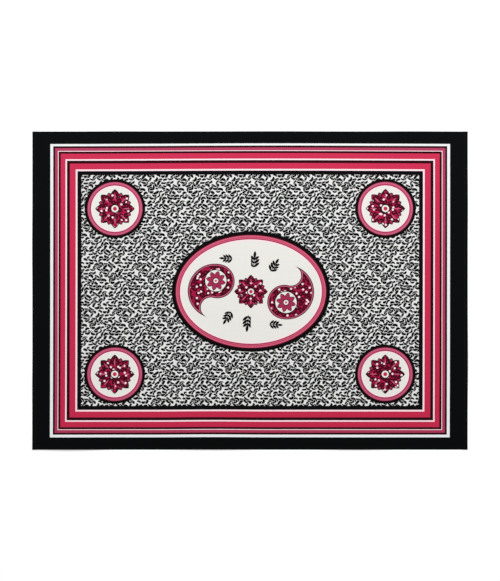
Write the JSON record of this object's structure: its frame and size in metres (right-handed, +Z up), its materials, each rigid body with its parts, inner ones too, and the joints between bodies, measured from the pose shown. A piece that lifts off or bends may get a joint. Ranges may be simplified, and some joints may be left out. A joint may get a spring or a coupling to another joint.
{
  "type": "khanga",
  "caption": "Rectangular printed cotton wrap cloth laid out flat, with ruled border stripes, a speckled ground, an oval medallion, corner roundels and narrow sewn end hems.",
  "frame": {"origin": "on the surface that the cloth lies on, under the middle of its box", "axes": "+X along the long selvedges, +Y across the cloth towards the top of the print, +Z up through the printed face"},
  "size_m": [1.5, 1.097, 0.0063],
  "materials": {
    "printed_cotton": "matt plain-weave cotton, printed in black, crimson and pink on white"
  },
  "bodies": {
    "root": {"khanga_cloth": "printed_cotton"}
  },
  "joints": []
}
